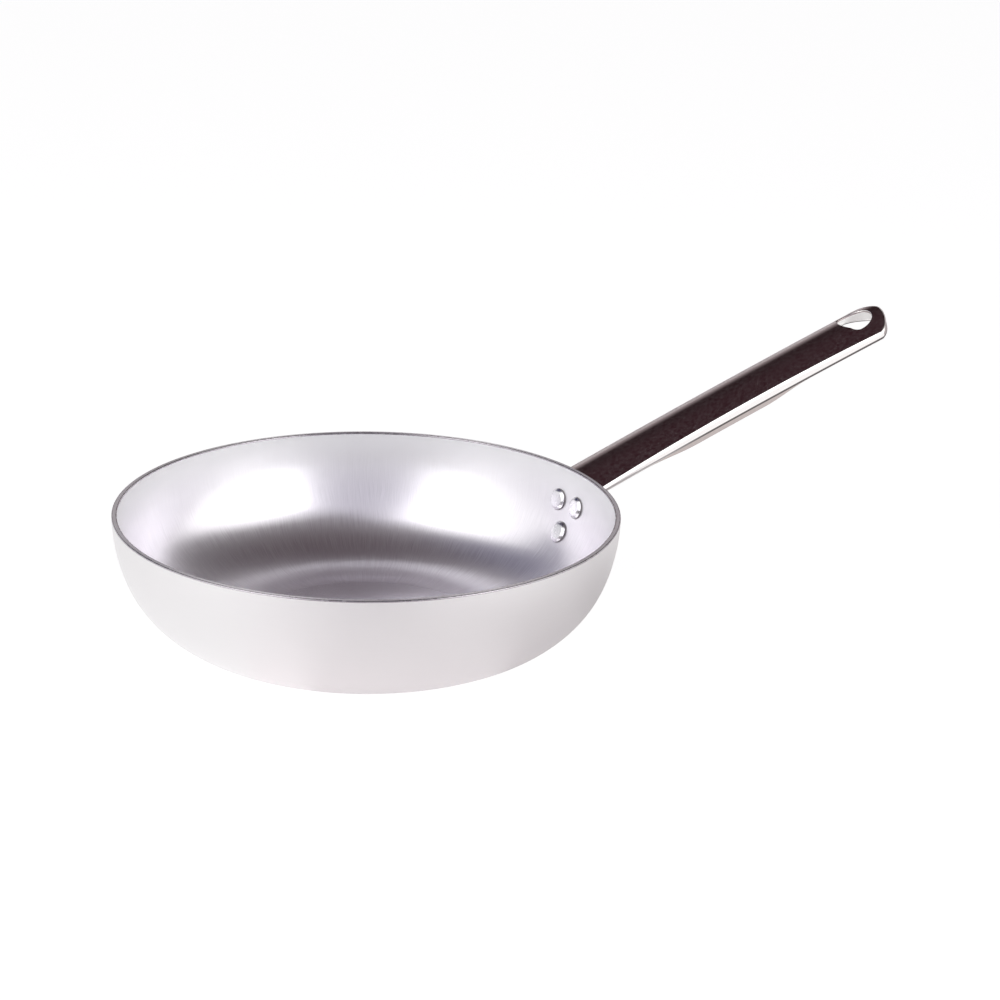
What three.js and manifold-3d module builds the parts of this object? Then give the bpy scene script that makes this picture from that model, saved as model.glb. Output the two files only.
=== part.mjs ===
// Bowl-sided aluminium pan with one pressed steel handle held by three rivets.
// Millimetres, +Z up. The origin is the middle of the flat base, and the handle points along +X.

import * as THREE from "three";
import { mergeVertices } from "three/addons/utils/BufferGeometryUtils.js";
import Module from "manifold-3d";

const wasm = await Module();
wasm.setup();

// Bowl
const RIM_RADIUS = 140;
const PAN_HEIGHT = 72.5;
const BASE_RADIUS = 77;
const BOWL_WALL = 3;
const CORNER_SHARE = 0.73; // how much of the wall's turn the tight corner arc takes

// Handle, measured from the rim along its own slope
const HANDLE_RISE = THREE.MathUtils.degToRad(17.9);
const HANDLE_BELOW_RIM = 1.9;
const HANDLE_LENGTH = 233.5;
const HANDLE_WIDTH = 38;
const HANDLE_WAIST = 1.6; // how far each side draws in at half length
const HANDLE_BOW = 0.8; // how far the middle arches up
const SHEET = 1.5;
const ARCH_RADIUS = 30;
const SHOULDER_RADIUS = 3;
const CHANNEL_DEPTH = 9; // at the rim
const CHANNEL_DEEPENS = 1.5; // from the rim to the tip
const TIP_LENGTH = 16;
const TIP_FULLNESS = 1.5; // 2 is an ellipse, less is more pointed

// Lips: the channel's lower edges turn in a little all along, and fully at the grip
const LIP_START = 34;
const LIP_END = 160;
const LIP_RAMP_IN = 42;
const LIP_RAMP_OUT = 32;
const LIP_LEAST = 0.22; // share of the full lip that runs all along
const LIP_DROP = 5.2;
const LIP_TURN_IN = 3;

// Loop hole at the tip
const HOLE_LENGTH = 19.5;
const HOLE_TIP_BAND = 9;
const HOLE_SIDE_BAND = 8;
const HOLE_CORNER = 4.5;

// Rivets and the flange around them
const RIVET_SPREAD = 18.4;
const RIVET_TOP_DROP = 20.8;
const RIVET_LOW_DROP = 38;
const SHANK_RADIUS = 3;
const HEAD_RADIUS = 6.5;
const HEAD_FLAT_RADIUS = 4.6;
const HEAD_EDGE = 0.8;
const HEAD_HEIGHT = 2.2;
const TAIL_RADIUS = 5.6;
const TAIL_HEIGHT = 2.6;
const FLANGE_MARGIN = 9.2; // metal around each rivet's axis

// Clearance between neighbouring pieces
const GAP = 0.3;

// Edges shorter than this are closed up after a cut
const LEAST_EDGE = 0.004;

// Facets
const BOWL_SEGMENTS = 72;
const ARC_STEPS = 7;
const ROUND_SEGMENTS = 20;
const STATION_STEP = 10;
const TIP_STEPS = 8;
const ARCH_STEPS = 10;
const SHOULDER_STEPS = 3;

const BOWL_COLOUR = 0xd6d6da;
const HANDLE_COLOUR = 0x8d8886;
const RIVET_COLOUR = 0xe2e2e4;

// Two arcs that carry the wall from the flat base, level, to the rim, upright
const wallRun = RIM_RADIUS - BASE_RADIUS;
const wallSlant = Math.atan2(wallRun, PAN_HEIGHT);
const leastTurn = Math.max(0, Math.PI / 2 - 2 * wallSlant);
const mostTurn = Math.min(Math.PI / 2, Math.PI - 2 * wallSlant);
const cornerTurn = THREE.MathUtils.lerp(leastTurn, mostTurn, CORNER_SHARE);
const turnShare = Math.sin(cornerTurn) + Math.cos(cornerTurn) - 1;
const cornerRadius = (wallRun * Math.cos(cornerTurn) - PAN_HEIGHT * (1 - Math.sin(cornerTurn))) / turnShare;
const sideRadius = (PAN_HEIGHT * Math.sin(cornerTurn) - wallRun * (1 - Math.cos(cornerTurn))) / turnShare;
const sideCentre = RIM_RADIUS - sideRadius;

// The outside of the wall, moved outwards by a distance, from the base's edge to the rim
function wallProfile(outwards) {
  const points = [];
  for (let step = 0; step <= ARC_STEPS; step++) {
    const turn = (cornerTurn * step) / ARC_STEPS;
    const reach = cornerRadius + outwards;
    points.push(new THREE.Vector2(BASE_RADIUS + reach * Math.sin(turn), cornerRadius - reach * Math.cos(turn)));
  }
  for (let step = 1; step <= ARC_STEPS; step++) {
    const turn = THREE.MathUtils.lerp(cornerTurn, Math.PI / 2, step / ARC_STEPS);
    const reach = sideRadius + outwards;
    points.push(new THREE.Vector2(sideCentre + reach * Math.sin(turn), PAN_HEIGHT - reach * Math.cos(turn)));
  }
  return points;
}

// The wall's outer point and its outward direction at a height, in the plane of the handle
function wallAt(height) {
  const onSide = PAN_HEIGHT - height <= sideRadius * Math.cos(cornerTurn);
  const cosine = onSide ? (PAN_HEIGHT - height) / sideRadius : 1 - height / cornerRadius;
  const turn = Math.acos(cosine);
  const radius = onSide ? sideCentre + sideRadius * Math.sin(turn) : BASE_RADIUS + cornerRadius * Math.sin(turn);
  return { radius, outward: new THREE.Vector2(Math.sin(turn), -Math.cos(turn)) };
}

// Solids for joining and cutting
function toSolid(geometry) {
  const bare = geometry.clone();
  bare.deleteAttribute("normal");
  bare.deleteAttribute("uv");
  const merged = mergeVertices(bare, 1e-4);
  const vertProperties = new Float32Array(merged.attributes.position.array);
  const triVerts = new Uint32Array(merged.index.array);
  return new wasm.Manifold(new wasm.Mesh({ numProp: 3, vertProperties, triVerts }));
}

// Closes up the tiny edges that a cut leaves where facets nearly meet
function withoutTinyEdges(triangles, corners) {
  const standIn = corners.map((_, index) => index);
  const find = (index) => (standIn[index] === index ? index : find(standIn[index]));
  for (const triangle of triangles) {
    triangle.forEach((corner, side) => {
      const next = triangle[(side + 1) % 3];
      if (corners[corner].distanceTo(corners[next]) < LEAST_EDGE) standIn[find(next)] = find(corner);
    });
  }
  const joined = triangles.map((triangle) => triangle.map(find));
  return joined.filter((triangle) => new Set(triangle).size === 3);
}

function toGeometry(solid) {
  const mesh = solid.getMesh();
  const corners = [];
  for (let index = 0; index < mesh.vertProperties.length; index += 3) {
    corners.push(new THREE.Vector3().fromArray(mesh.vertProperties, index));
  }
  const triangles = [];
  for (let index = 0; index < mesh.triVerts.length; index += 3) {
    triangles.push([...mesh.triVerts.slice(index, index + 3)]);
  }
  const geometry = new THREE.BufferGeometry().setFromPoints(corners);
  geometry.setIndex(withoutTinyEdges(triangles, corners).flat());
  geometry.computeVertexNormals();
  return geometry;
}

// A turned solid about +Z from a profile of (radius, height) points
function turned(profile, segments) {
  const geometry = new THREE.LatheGeometry(profile, segments);
  geometry.rotateX(Math.PI / 2);
  return geometry;
}

// A solid skinned over closed rings of points, with flat ends
function lofted(rings) {
  const count = rings[0].length;
  const positions = rings.flat().flatMap((point) => point.toArray());
  const triangles = [];
  for (let ring = 0; ring + 1 < rings.length; ring++) {
    for (let index = 0; index < count; index++) {
      const next = (index + 1) % count;
      const a = ring * count + index;
      const b = ring * count + next;
      triangles.push(a, b, b + count, a, b + count, a + count);
    }
  }
  const endCaps = [rings[0], rings[rings.length - 1]];
  endCaps.forEach((ring, end) => {
    const flat = ring.map((point) => new THREE.Vector2(point.y, point.z));
    const offset = end === 0 ? 0 : (rings.length - 1) * count;
    for (const [a, b, c] of THREE.ShapeUtils.triangulateShape(flat, [])) {
      if (end === 0) triangles.push(offset + a, offset + c, offset + b);
      else triangles.push(offset + a, offset + b, offset + c);
    }
  });
  const geometry = new THREE.BufferGeometry();
  geometry.setAttribute("position", new THREE.Float32BufferAttribute(positions, 3));
  geometry.setIndex(triangles);
  return geometry;
}

// Handle frame: x runs along the handle from the rim, y across it, z away from its top
const handleFrame = new THREE.Matrix4()
  .makeRotationY(-HANDLE_RISE)
  .setPosition(RIM_RADIUS, 0, PAN_HEIGHT - HANDLE_BELOW_RIM);
const toHandleFrame = handleFrame.clone().invert();

const tipStart = HANDLE_LENGTH - TIP_LENGTH;
const handleStart = -2 * CHANNEL_DEPTH;

// 0 at both ends of the handle's straight run and 1 at its middle
function middleShare(along) {
  const share = THREE.MathUtils.clamp(along / tipStart, 0, 1);
  return 4 * share * (1 - share);
}

function channelDepth(along) {
  return CHANNEL_DEPTH + CHANNEL_DEEPENS * THREE.MathUtils.clamp(along / HANDLE_LENGTH, 0, 1);
}

function lipShare(along) {
  const rise = THREE.MathUtils.smoothstep(along, LIP_START, LIP_START + LIP_RAMP_IN);
  const fall = THREE.MathUtils.smoothstep(along, LIP_END - LIP_RAMP_OUT, LIP_END);
  return THREE.MathUtils.lerp(LIP_LEAST, 1, rise * (1 - fall));
}

function halfWidth(along, inset) {
  const half = HANDLE_WIDTH / 2 - inset - HANDLE_WAIST * middleShare(along);
  const share = THREE.MathUtils.clamp((along - tipStart) / (TIP_LENGTH - inset), 0, 1);
  return half * Math.pow(1 - Math.pow(share, TIP_FULLNESS), 1 / TIP_FULLNESS);
}

// The channel's outline across the handle, drawn from one lip's edge over the top to the other.
// A lip reach over 1 carries it on past those edges, so that the inside cuts the channel open below.
function channelOutline(along, inset, lipReach) {
  const half = halfWidth(along, inset);
  const shoulder = Math.min(SHOULDER_RADIUS - inset, half / 2);
  const arch = ARCH_RADIUS - inset;
  const ridge = HANDLE_BOW * middleShare(along) - inset;
  const shoulderTurn = Math.asin((half - shoulder) / (arch - shoulder));
  const shoulderHeight = ridge - arch + (arch - shoulder) * Math.cos(shoulderTurn);
  const depth = channelDepth(along);
  const lip = lipShare(along) * lipReach;
  const lipHalf = half - Math.min(LIP_TURN_IN, half / 3) * lip;
  const side = [
    new THREE.Vector2(lipHalf, -depth - LIP_DROP * lip),
    new THREE.Vector2(half, -depth),
  ];
  for (let step = 0; step < SHOULDER_STEPS; step++) {
    const turn = THREE.MathUtils.lerp(Math.PI / 2, shoulderTurn, step / SHOULDER_STEPS);
    const across = half - shoulder + shoulder * Math.sin(turn);
    side.push(new THREE.Vector2(across, shoulderHeight + shoulder * Math.cos(turn)));
  }
  const top = [];
  for (let step = 0; step <= ARCH_STEPS; step++) {
    const turn = THREE.MathUtils.lerp(shoulderTurn, -shoulderTurn, step / ARCH_STEPS);
    top.push(new THREE.Vector2(arch * Math.sin(turn), ridge - arch + arch * Math.cos(turn)));
  }
  const otherSide = side.map((point) => new THREE.Vector2(-point.x, point.y)).reverse();
  return [...side, ...top, ...otherSide];
}

// Places along the handle where its outline is drawn. Those of the inside fall between those of the outside.
function handleStations(inset) {
  const shift = inset > 0 ? 0.5 : 0;
  const stations = [handleStart];
  const count = Math.ceil(tipStart / STATION_STEP);
  for (let step = 0; step < count; step++) stations.push((tipStart * (step + shift)) / count);
  for (let step = 0; step < TIP_STEPS; step++) {
    const sweep = (Math.PI / 2) * ((step + shift) / TIP_STEPS);
    stations.push(tipStart + (TIP_LENGTH - inset) * Math.sin(sweep));
  }
  return stations;
}

function channelSolid(inset, lipReach) {
  const rings = handleStations(inset).map((along) => {
    return channelOutline(along, inset, lipReach).map((point) => new THREE.Vector3(along, point.x, point.y));
  });
  return toSolid(lofted(rings).applyMatrix4(handleFrame));
}

// Rivet places: where each axis crosses the outside of the wall, and its outward direction
function rivetPlace(drop, across) {
  const wall = wallAt(PAN_HEIGHT - drop);
  const swing = Math.asin(across / wall.radius);
  const place = new THREE.Vector3(wall.radius * Math.cos(swing), across, PAN_HEIGHT - drop);
  const level = wall.outward.x;
  const outward = new THREE.Vector3(level * Math.cos(swing), level * Math.sin(swing), wall.outward.y);
  const turnFromUp = new THREE.Quaternion().setFromUnitVectors(new THREE.Vector3(0, 0, 1), outward);
  return { place, turnFromUp };
}

const rivets = {
  rivet_left: rivetPlace(RIVET_TOP_DROP, RIVET_SPREAD / 2),
  rivet_right: rivetPlace(RIVET_TOP_DROP, -RIVET_SPREAD / 2),
  rivet_low: rivetPlace(RIVET_LOW_DROP, 0),
};

function atRivet(geometry, rivet) {
  return geometry.applyQuaternion(rivet.turnFromUp).translate(...rivet.place.toArray());
}

// Holes for the three rivets through the wall and the flange
function cutRivetHoles(solid) {
  const reach = 2 * (BOWL_WALL + SHEET + GAP);
  return Object.values(rivets).reduce((rest, rivet) => {
    const bore = new THREE.CylinderGeometry(SHANK_RADIUS + GAP, SHANK_RADIUS + GAP, 2 * reach, ROUND_SEGMENTS);
    bore.rotateX(Math.PI / 2);
    return rest.subtract(toSolid(atRivet(bore, rivet)));
  }, solid);
}

// Bowl: one sheet, flat base, two-arc wall, plain cut rim
function bowlGeometry() {
  const outside = wallProfile(0);
  const inside = wallProfile(-BOWL_WALL).reverse();
  const profile = [new THREE.Vector2(0, 0), ...outside, ...inside, new THREE.Vector2(0, BOWL_WALL)];
  return toGeometry(cutRivetHoles(toSolid(turned(profile, BOWL_SEGMENTS))));
}

// The space that the bowl takes, with its clearance, that ends the handle at the wall
function bowlSpace() {
  const wall = wallProfile(GAP);
  const above = PAN_HEIGHT + HANDLE_LENGTH;
  const profile = [
    new THREE.Vector2(0, -GAP),
    ...wall,
    new THREE.Vector2(RIM_RADIUS + GAP, above),
    new THREE.Vector2(0, above),
  ];
  return toSolid(turned(profile, BOWL_SEGMENTS));
}

// A sheet all round the bowl, from which the flange is trimmed. It starts at the wall and is cleared from it later.
function sheetRoundBowl() {
  const outside = wallProfile(GAP + SHEET);
  const inside = wallProfile(0).reverse();
  const above = PAN_HEIGHT + CHANNEL_DEPTH;
  const profile = [
    ...outside,
    new THREE.Vector2(RIM_RADIUS + GAP + SHEET, above),
    new THREE.Vector2(RIM_RADIUS, above),
    ...inside,
    outside[0].clone(),
  ];
  return toSolid(turned(profile, BOWL_SEGMENTS));
}

// The flange's outline across the handle: the middle of the channel's sheet, and a tongue around the rivets
function flangeOutline() {
  const inFrame = (rivet) => {
    const point = rivet.place.clone().applyMatrix4(toHandleFrame);
    return new THREE.Vector2(point.y, point.z);
  };
  const upper = inFrame(rivets.rivet_left);
  const lower = inFrame(rivets.rivet_low);
  const edge = lower.clone().sub(upper);
  const normalTurn = Math.atan2(edge.x, -edge.y);
  const tongue = [];
  for (let step = 0; step <= ARC_STEPS; step++) {
    const turn = THREE.MathUtils.lerp(-Math.PI / 2, normalTurn, step / ARC_STEPS);
    const reach = new THREE.Vector2(Math.cos(turn), Math.sin(turn)).multiplyScalar(FLANGE_MARGIN);
    tongue.push(lower.clone().add(reach));
  }
  for (let step = 0; step <= ARC_STEPS; step++) {
    const turn = THREE.MathUtils.lerp(normalTurn, 0, step / ARC_STEPS);
    const reach = new THREE.Vector2(Math.cos(turn), Math.sin(turn)).multiplyScalar(FLANGE_MARGIN);
    tongue.push(upper.clone().add(reach));
  }
  const otherSide = tongue.slice(1).map((point) => new THREE.Vector2(-point.x, point.y)).reverse();
  const aboveLips = channelOutline(0, SHEET / 2, 1).slice(1, -1);
  return [...tongue, ...aboveLips, ...otherSide];
}

// Turns an outline drawn across the handle into a bar along it
function barAlongHandle(outline, start, end) {
  const rings = [start, end].map((along) => outline.map((point) => new THREE.Vector3(along, point.x, point.y)));
  return toSolid(lofted(rings).applyMatrix4(handleFrame));
}

// Loop hole: straight towards the pan with round corners, half an ellipse towards the tip
function loopHole() {
  const end = HANDLE_LENGTH - HOLE_TIP_BAND;
  const start = end - HOLE_LENGTH;
  const half = HANDLE_WIDTH / 2 - HOLE_SIDE_BAND;
  const corner = Math.min(HOLE_CORNER, half / 2, HOLE_LENGTH / 2);
  const shape = new THREE.Shape();
  shape.absellipse(start + corner, 0, HOLE_LENGTH - corner, half, -Math.PI / 2, Math.PI / 2);
  shape.absarc(start + corner, half - corner, corner, Math.PI / 2, Math.PI);
  shape.absarc(start + corner, corner - half, corner, Math.PI, 1.5 * Math.PI);
  const depth = 2 * ARCH_RADIUS;
  const hole = new THREE.ExtrudeGeometry(shape, { depth, bevelEnabled: false, curveSegments: ROUND_SEGMENTS / 2 });
  return toSolid(hole.translate(0, 0, -depth / 2).applyMatrix4(handleFrame));
}

// Handle: channel with a rounded tip, flange folded against the wall, loop hole and rivet holes
function handleGeometry() {
  const channel = channelSolid(0, 1).subtract(channelSolid(SHEET, 2));
  const flange = barAlongHandle(flangeOutline(), -PAN_HEIGHT, CHANNEL_DEPTH).intersect(sheetRoundBowl());
  return toGeometry(cutRivetHoles(channel.add(flange).subtract(bowlSpace()).subtract(loopHole())));
}

// Rivet along +Z from the inside of the bowl: flat-topped head, shank, domed tail on the flange
function rivetGeometry(rivet) {
  const hollow = (HEAD_RADIUS * HEAD_RADIUS) / (2 * (sideRadius - BOWL_WALL));
  const headSeat = -BOWL_WALL - GAP - hollow;
  const tailSeat = GAP + SHEET + GAP;
  const profile = [
    new THREE.Vector2(0, headSeat - HEAD_HEIGHT),
    new THREE.Vector2(HEAD_FLAT_RADIUS, headSeat - HEAD_HEIGHT),
    new THREE.Vector2(HEAD_RADIUS, headSeat - HEAD_EDGE),
    new THREE.Vector2(HEAD_RADIUS, headSeat),
    new THREE.Vector2(SHANK_RADIUS, headSeat),
    new THREE.Vector2(SHANK_RADIUS, tailSeat),
  ];
  for (let step = 0; step < SHOULDER_STEPS; step++) {
    const turn = (Math.PI / 2) * (step / SHOULDER_STEPS);
    profile.push(new THREE.Vector2(TAIL_RADIUS * Math.cos(turn), tailSeat + TAIL_HEIGHT * Math.sin(turn)));
  }
  profile.push(new THREE.Vector2(0, tailSeat + TAIL_HEIGHT));
  return atRivet(turned(profile, ROUND_SEGMENTS), rivet);
}

function named(name, geometry, color, roughness) {
  const material = new THREE.MeshStandardMaterial({ color, roughness, metalness: 1 });
  const mesh = new THREE.Mesh(geometry, material);
  mesh.name = name;
  return mesh;
}

const pan = new THREE.Group();
pan.add(named("pan_body", bowlGeometry(), BOWL_COLOUR, 0.35));
pan.add(named("handle", handleGeometry(), HANDLE_COLOUR, 0.15));
for (const [name, rivet] of Object.entries(rivets)) {
  pan.add(named(name, rivetGeometry(rivet), RIVET_COLOUR, 0.2));
}

export default pan;
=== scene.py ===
"""Looks of an open aluminium pan with one pressed steel handle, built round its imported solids."""

import math

import bmesh
import bpy
import numpy as np
from mathutils import Matrix, Vector


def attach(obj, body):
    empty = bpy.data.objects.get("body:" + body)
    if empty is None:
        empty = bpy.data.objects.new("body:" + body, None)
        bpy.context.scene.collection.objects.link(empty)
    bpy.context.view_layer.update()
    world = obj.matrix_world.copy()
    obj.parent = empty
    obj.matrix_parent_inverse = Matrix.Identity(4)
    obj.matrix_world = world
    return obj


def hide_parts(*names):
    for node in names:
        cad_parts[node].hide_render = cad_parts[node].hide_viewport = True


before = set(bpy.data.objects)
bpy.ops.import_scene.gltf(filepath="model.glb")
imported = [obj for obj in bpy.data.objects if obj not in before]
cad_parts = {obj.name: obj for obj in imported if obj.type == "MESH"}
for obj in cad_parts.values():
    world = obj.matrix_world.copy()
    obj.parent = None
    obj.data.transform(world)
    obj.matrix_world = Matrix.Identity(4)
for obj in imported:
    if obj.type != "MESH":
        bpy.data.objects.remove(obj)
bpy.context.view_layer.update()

MM = 0.001
QUARTER_TURN = math.pi / 2

# Bowl, in millimetres, as in the solids
RIM_RADIUS = 140.0
PAN_HEIGHT = 72.5
BASE_RADIUS = 77.0
BOWL_WALL = 3.0
CORNER_SHARE = 0.73
RIM_EDGE = 0.6
BASE_RINGS = (0.0, 25.0, 50.0)

# Handle, in millimetres along its own slope from the rim
HANDLE_RISE = math.radians(17.9)
HANDLE_BELOW_RIM = 1.9
HANDLE_LENGTH = 233.5
HANDLE_WIDTH = 38.0
HANDLE_WAIST = 1.6
HANDLE_BOW = 0.8
SHEET = 1.5
ARCH_RADIUS = 30.0
SHOULDER_RADIUS = 3.0
CHANNEL_DEPTH = 9.0
CHANNEL_DEEPENS = 1.5
TIP_LENGTH = 16.0
TIP_FULLNESS = 1.5
LIP_START = 34.0
LIP_END = 160.0
LIP_RAMP_IN = 42.0
LIP_RAMP_OUT = 32.0
LIP_LEAST = 0.22
LIP_DROP = 5.2
LIP_TURN_IN = 3.0
LIP_BEND = 0.5
HOLE_LENGTH = 19.5
HOLE_TIP_BAND = 9.0
HOLE_SIDE_BAND = 8.0
HOLE_CORNER = 4.5
HOLE_MARGIN = 9.0
FOLD_RADIUS = 2.4
ROOT_SEARCH = 15.0
ROOT_BLEND = 40.0
SHEET_EDGE = 0.35
ROUNDED_PAST_RIM = 4.0
SHARP_ANGLE = math.radians(55)
LEAST_EDGE = 0.02

# Rivets, in millimetres
RIVET_SPREAD = 18.4
RIVET_TOP_DROP = 20.8
RIVET_LOW_DROP = 38.0
HEAD_RADIUS = 6.5
HEAD_FLAT_RADIUS = 4.6
HEAD_EDGE = 0.8
HEAD_HEIGHT = 2.2
HEAD_ROUND = 0.5
HEAD_UNDERCUT = 0.5
HEAD_SINK = 0.1
SHANK_RADIUS = 3.0
TAIL_RADIUS = 5.6
TAIL_HEIGHT = 2.6
RIVET_SHARP_ANGLE = math.radians(60)
FLANGE_MARGIN = 9.2
GAP = 0.3

# Fineness of the meshes
BOWL_SEGMENTS = 288
CORNER_STEPS = 56
SIDE_STEPS = 40
EDGE_STEPS = 4
RIVET_SEGMENTS = 64
TAIL_STEPS = 8
ARCH_STEPS = 36
SHOULDER_STEPS = 9
SHOULDER_PASSES = 8
WALL_STEPS = 4
LIP_STEPS = 3
STATIONS = 60
ROOT_HALVINGS = 30
TIP_SIDE_STEPS = 16
TIP_STEPS = 20
HOLE_ROUND_STEPS = 180
HOLE_CORNER_STEPS = 45
HOLE_RINGS = 12
FOLD_STEPS = 6
FLANGE_ROWS = 16
CARD_COLUMNS = 9

# Camera of the photograph: turned from the handle's direction, and aimed past the bowl's middle
CAMERA_TURN = math.radians(-30.35)
CAMERA_PLACE = Vector((0.0, -1.41439, 0.57203))
CAMERA_TILT = math.radians(19.45)
CAMERA_YAW = math.radians(-2.80)
CAMERA_PITCH = math.radians(-0.20)
CAMERA_ROLL = math.radians(0.33)
FOCAL_SHARE = 2.71367
SENSOR_WIDTH = 36.0

# Floor and boards, in millimetres
FLOOR_REACH = 6000.0
FLOOR_DROP = 0.2
FLAG_PLAN = ((130.0, 110.0), (500.0, 110.0), (500.0, -30.0))
FLAG_ABOVE_HANDLE = 10.0
FLAG_TONE = (0.55, 0.5, 0.5)
CARD_TONE = (0.5, 0.46, 0.47)
CARD_LIFT = 0.5
CARD_RING = (85.0, 360.0)

# Cards on the floor: azimuths in degrees, distances from the bowl's axis, and glow
TABLE_CARDS = {
    "left_card": ((-34.0, -16.0), CARD_RING, 0.7),
    "front_card": ((-16.0, 42.0), CARD_RING, 0.52),
    "right_card": ((42.0, 80.0), CARD_RING, 0.32),
    "side_card": ((80.0, 106.0), CARD_RING, 0.16),
    "back_card": ((128.0, 165.0), CARD_RING, 0.25),
    "near_board": ((-34.0, 38.0), (360.0, 560.0), 0.22),
    "middle_board": ((-34.0, 38.0), (560.0, 680.0), 0.08),
    "far_board": ((-45.0, 45.0), (680.0, 1600.0), 0.0),
}

# Soft lamps: distance in metres, and azimuths and elevations in degrees
PANEL_DISTANCE = 1.8
PANEL_INSET = 0.14
RIGHT_PANEL = (62.0, 28.0)
LEFT_PANEL = (-65.0, 40.0)
RIGHT_OPENING_EDGE = (-146.0, 36.0)
LEFT_OPENING_EDGE = (141.0, 20.5)

# Depth of fine relief in a finish, in metres
FINE_RELIEF = 0.0002

# Walls of the bowl: two arcs from the flat base, level, to the rim, upright
wall_run = RIM_RADIUS - BASE_RADIUS
wall_slant = math.atan2(wall_run, PAN_HEIGHT)
least_turn = max(0.0, QUARTER_TURN - 2 * wall_slant)
most_turn = min(QUARTER_TURN, math.pi - 2 * wall_slant)
corner_turn = least_turn + (most_turn - least_turn) * CORNER_SHARE
turn_share = math.sin(corner_turn) + math.cos(corner_turn) - 1
corner_radius = (wall_run * math.cos(corner_turn) - PAN_HEIGHT * (1 - math.sin(corner_turn))) / turn_share
side_radius = (PAN_HEIGHT * math.sin(corner_turn) - wall_run * (1 - math.cos(corner_turn))) / turn_share
side_centre = RIM_RADIUS - side_radius

# Where the handle's sides begin to close round its tip
tip_start = HANDLE_LENGTH - TIP_LENGTH


def wall_arcs(outwards):
    """Points (radius, height) up the wall, moved outwards by a distance."""
    points = []
    for turn in np.linspace(0, corner_turn, CORNER_STEPS + 1):
        reach = corner_radius + outwards
        points.append((BASE_RADIUS + reach * math.sin(turn), corner_radius - reach * math.cos(turn)))
    for turn in np.linspace(corner_turn, QUARTER_TURN, SIDE_STEPS + 1)[1:]:
        reach = side_radius + outwards
        points.append((side_centre + reach * math.sin(turn), PAN_HEIGHT - reach * math.cos(turn)))
    return points


def wall_at(height):
    """Outer radius of the wall at a height, and its turn from level there."""
    if PAN_HEIGHT - height <= side_radius * math.cos(corner_turn):
        turn = math.acos(max(0.0, (PAN_HEIGHT - height) / side_radius))
        return side_centre + side_radius * math.sin(turn), turn
    turn = math.acos(1 - height / corner_radius)
    return BASE_RADIUS + corner_radius * math.sin(turn), turn


def make_object(name, points, faces):
    """A smooth mesh object from points in millimetres."""
    mesh = bpy.data.meshes.new(name)
    mesh.from_pydata([Vector(point) * MM for point in points], [], faces)
    mesh.shade_smooth()
    made = bpy.data.objects.new(name, mesh)
    bpy.context.scene.collection.objects.link(made)
    return made


def turned(profile, segments):
    """Points and faces of a profile (radius, height) turned about the upright axis, and each face's step."""
    points = []
    rings = []
    for radius, height in profile:
        count = segments if radius > 0 else 1
        rings.append([len(points) + index for index in range(count)])
        for index in range(count):
            angle = 2 * math.pi * index / segments
            points.append((radius * math.cos(angle), radius * math.sin(angle), height))
    faces = []
    steps = []
    for step, (low, high) in enumerate(zip(rings, rings[1:])):
        for index in range(segments):
            places = ((low, index), (low, index + 1), (high, index + 1), (high, index))
            corners = [ring[place % len(ring)] for ring, place in places]
            faces.append(list(dict.fromkeys(corners)))
            steps.append(step)
    return points, faces, steps


def curve(start, corner, end, steps):
    """Points of a smooth bend from start to end, inside a corner."""
    line = []
    for share in np.linspace(0, 1, steps + 1):
        line.append((1 - share) ** 2 * start + 2 * share * (1 - share) * corner + share ** 2 * end)
    return line


def rounded(corner, before, after, radius):
    """A corner of a profile, rounded between its two neighbours."""
    corner, before, after = (np.array(point, float) for point in (corner, before, after))
    start = corner + (before - corner) / np.linalg.norm(before - corner) * radius
    end = corner + (after - corner) / np.linalg.norm(after - corner) * radius
    return curve(start, corner, end, EDGE_STEPS)


def bowl_slot(step, rim_start, rim_end):
    """Material index of a step of the bowl's profile: outside, broken edge, flat rim or inside."""
    if step < rim_start:
        return 0
    if step >= rim_end:
        return 3
    return 2 if step == rim_start + EDGE_STEPS + 1 else 1


def build_bowl():
    """The spun bowl: outside, cut rim and inside as one closed mesh."""
    outside = [(radius, 0.0) for radius in BASE_RINGS] + wall_arcs(0.0)[:-1]
    inside = wall_arcs(-BOWL_WALL)[:-1][::-1] + [(radius, BOWL_WALL) for radius in BASE_RINGS[::-1]]
    outer_edge = (RIM_RADIUS, PAN_HEIGHT)
    inner_edge = (RIM_RADIUS - BOWL_WALL, PAN_HEIGHT)
    rim = rounded(outer_edge, outside[-1], inner_edge, RIM_EDGE)
    rim += rounded(inner_edge, outer_edge, inside[0], RIM_EDGE)
    points, faces, steps = turned(outside + rim + inside, BOWL_SEGMENTS)
    bowl = make_object("bowl", points, faces)
    for material in (aluminium_outside(), shaded_aluminium_edge(), aluminium_rim(), aluminium_inside()):
        bowl.data.materials.append(material)
    rim_start = len(outside) - 1
    rim_end = rim_start + len(rim) + 1
    for face, step in zip(bowl.data.polygons, steps):
        face.material_index = bowl_slot(step, rim_start, rim_end)
    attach(bowl, "root")
    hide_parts("pan_body")


def smoothstep(value, low, high):
    """Share from 0 at low to 1 at high, level at both ends."""
    share = min(max((value - low) / (high - low), 0.0), 1.0)
    return share * share * (3 - 2 * share)


def middle_share(along):
    """Share from 0 at the ends of the handle's straight run to 1 at its middle."""
    share = min(max(along / tip_start, 0.0), 1.0)
    return 4 * share * (1 - share)


def channel_depth(along):
    """Depth of the handle's walls, which grows towards the tip."""
    return CHANNEL_DEPTH + CHANNEL_DEEPENS * min(max(along / HANDLE_LENGTH, 0.0), 1.0)


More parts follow.
